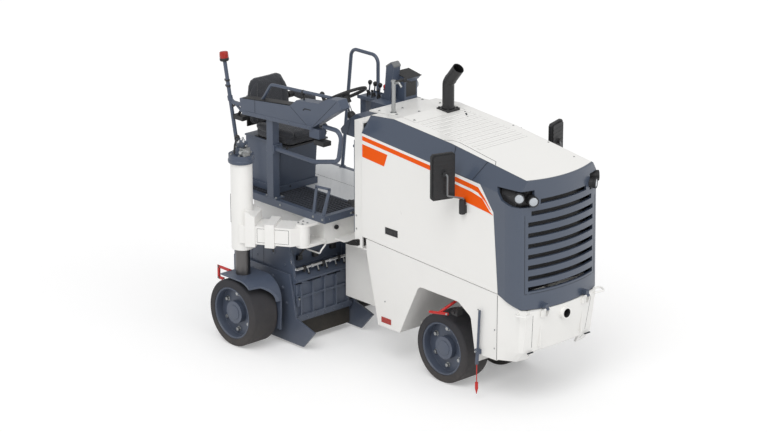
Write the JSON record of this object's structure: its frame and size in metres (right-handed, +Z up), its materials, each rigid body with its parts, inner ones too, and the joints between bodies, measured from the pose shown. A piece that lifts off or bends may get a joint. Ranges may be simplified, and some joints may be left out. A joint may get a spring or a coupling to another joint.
{
  "type": "cold planer milling machine",
  "caption": "Compact wheeled road planer: tilting engine hood, rear operator's stand, height-adjustable swing-in rear support wheel and cutting drum under the stand.",
  "frame": {"origin": "on the floor, under the centre of the whole machine's box", "axes": "+X in the direction of travel, towards the engine hood; +Y to the machine's left; +Z up"},
  "size_m": [3.3568, 1.8194, 2.3799],
  "materials": {
    "slate_metal": "satin slate-grey paint",
    "slate_shell": "satin slate-grey gel coat",
    "white_metal": "satin off-white paint",
    "white_shell": "gloss off-white gel coat",
    "red_metal": "satin red paint",
    "black_metal": "satin black paint",
    "black_plastic": "matte black",
    "red_lens": "clear red",
    "lens": "clear lens in a black ring",
    "tyre": "solid tyre",
    "rubber": "matte",
    "chrome": "bright",
    "bare_steel": "dark, turned",
    "checker_aluminium": "rolled tread plate",
    "seat_fabric": "charcoal woven",
    "engine": "painted casting"
  },
  "bodies": {
    "machine": {"chassis_frame": "white_metal", "wheel_well": "white_metal", "rear_cross_box": "white_metal", "side_panels": "white_metal", "front_bumper": "white_metal", "front_axle": "black_metal", "engine_block": "engine", "rear_deck": "white_metal", "exhaust_pipe": "black_metal", "dashboard": "slate_metal", "lamp_box": "slate_metal", "clamp_post": "slate_metal", "lever_bank": "slate_metal", "steering_pod": "slate_metal", "steering_column": "chrome", "platform_frame": "slate_metal", "floor_grating": "black_metal", "chequer_plate": "checker_aluminium", "seat_box": "slate_metal", "seat_cushion": "seat_fabric", "seat_back": "seat_fabric", "seat_armrest": "seat_fabric", "side_console": "slate_metal", "handrails": "slate_metal", "beacon_pole": "slate_metal", "beacon_lamp": "red_lens", "drum_housing": "slate_metal", "housing_door": "slate_metal", "rubber_flap": "rubber", "water_pipe": "chrome", "side_pointer": "slate_metal", "pointer_plumb": "red_metal", "guard_bar": "red_metal"},
    "hood": {"hood_top": "white_shell", "hood_cowl": "slate_shell", "hood_sides": "white_shell", "grille_screen": "black_metal", "work_lamps": "lens", "hood_mirrors": "black_plastic"},
    "knuckle_right": {"front_knuckle_right": "black_metal"},
    "knuckle_left": {"front_knuckle_left": "black_metal"},
    "wheel_front_right": {"front_right_rim": "slate_metal", "front_right_tyre": "tyre"},
    "wheel_front_left": {"front_left_rim": "slate_metal", "front_left_tyre": "tyre"},
    "arm": {"swing_arm": "white_metal"},
    "turret": {"column_cap": "slate_metal"},
    "leg_right": {"rear_right_leg": "bare_steel", "rear_right_fender": "slate_metal", "foot_guard": "red_metal"},
    "wheel_rear_right": {"rear_right_rim": "slate_metal", "rear_right_tyre": "tyre"},
    "leg_left": {"rear_left_leg": "bare_steel"},
    "wheel_rear_left": {"rear_left_rim": "slate_metal", "rear_left_tyre": "tyre"},
    "drum": {"milling_drum": "black_metal"},
    "scraper": {"rear_scraper": "slate_metal"},
    "plate_right": {"side_plate_right": "slate_metal"},
    "plate_left": {"side_plate_left": "slate_metal"},
    "steering": {"steering_wheel": "black_plastic"}
  },
  "joints": [
    {"name": "hood_tilt", "type": "hinge", "parent": "machine", "child": "hood", "pos_m": [1.66836, 0.19528, 0.818], "axis": [0, 1, 0], "range_deg": [0, 50]},
    {"name": "steer_right", "type": "hinge", "parent": "machine", "child": "knuckle_right", "pos_m": [0.72236, 0.06028, 0.2795], "axis": [0, 0, 1], "range_deg": [-25, 25]},
    {"name": "steer_left", "type": "hinge", "parent": "machine", "child": "knuckle_left", "pos_m": [0.72236, 0.33028, 0.2795], "axis": [0, 0, 1], "range_deg": [-25, 25]},
    {"name": "front_right_spin", "type": "hinge", "parent": "knuckle_right", "child": "wheel_front_right", "pos_m": [0.72236, -0.08972, 0.2795], "axis": [0, 1, 0], "continuous": true},
    {"name": "front_left_spin", "type": "hinge", "parent": "knuckle_left", "child": "wheel_front_left", "pos_m": [0.72236, 0.48028, 0.2795], "axis": [0, 1, 0], "continuous": true},
    {"name": "rear_right_swing", "type": "hinge", "parent": "machine", "child": "arm", "pos_m": [-0.58164, -0.49472, 0.956], "axis": [0, 0, 1], "range_deg": [0, 146]},
    {"name": "rear_right_counter", "type": "hinge", "parent": "arm", "child": "turret", "pos_m": [-0.99764, -0.77472, 1.53], "axis": [0, 0, 1], "range_deg": [-146, 0]},
    {"name": "rear_right_lift", "type": "slide", "parent": "turret", "child": "leg_right", "axis": [0, 0, 1], "range_m": [-0.05, 0.19]},
    {"name": "rear_right_spin", "type": "hinge", "parent": "leg_right", "child": "wheel_rear_right", "pos_m": [-0.99764, -0.77472, 0.2795], "axis": [0, 1, 0], "continuous": true},
    {"name": "rear_left_lift", "type": "slide", "parent": "machine", "child": "leg_left", "axis": [0, 0, 1], "range_m": [-0.05, 0.19]},
    {"name": "rear_left_spin", "type": "hinge", "parent": "leg_left", "child": "wheel_rear_left", "pos_m": [-0.99764, 0.52028, 0.2795], "axis": [0, 1, 0], "continuous": true},
    {"name": "drum_spin", "type": "hinge", "parent": "machine", "child": "drum", "pos_m": [-1.02264, -0.21472, 0.362], "axis": [0, 1, 0], "continuous": true},
    {"name": "scraper_swing", "type": "hinge", "parent": "machine", "child": "scraper", "pos_m": [-1.43164, -0.21472, 0.8], "axis": [0, 1, 0], "range_deg": [0, 85]},
    {"name": "side_plate_right_lift", "type": "slide", "parent": "machine", "child": "plate_right", "axis": [0, 0, 1], "range_m": [0, 0.19]},
    {"name": "side_plate_left_lift", "type": "slide", "parent": "machine", "child": "plate_left", "axis": [0, 0, 1], "range_m": [0, 0.19]},
    {"name": "steering_wheel_turn", "type": "hinge", "parent": "machine", "child": "steering", "pos_m": [-0.55964, -0.04472, 1.985], "axis": [-0.5, 0, 0.866], "continuous": true}
  ],
  "couplings": [
    {"joint": "steer_left", "follows": "steer_right", "ratio": 1},
    {"joint": "rear_right_counter", "follows": "rear_right_swing", "ratio": -1}
  ]
}
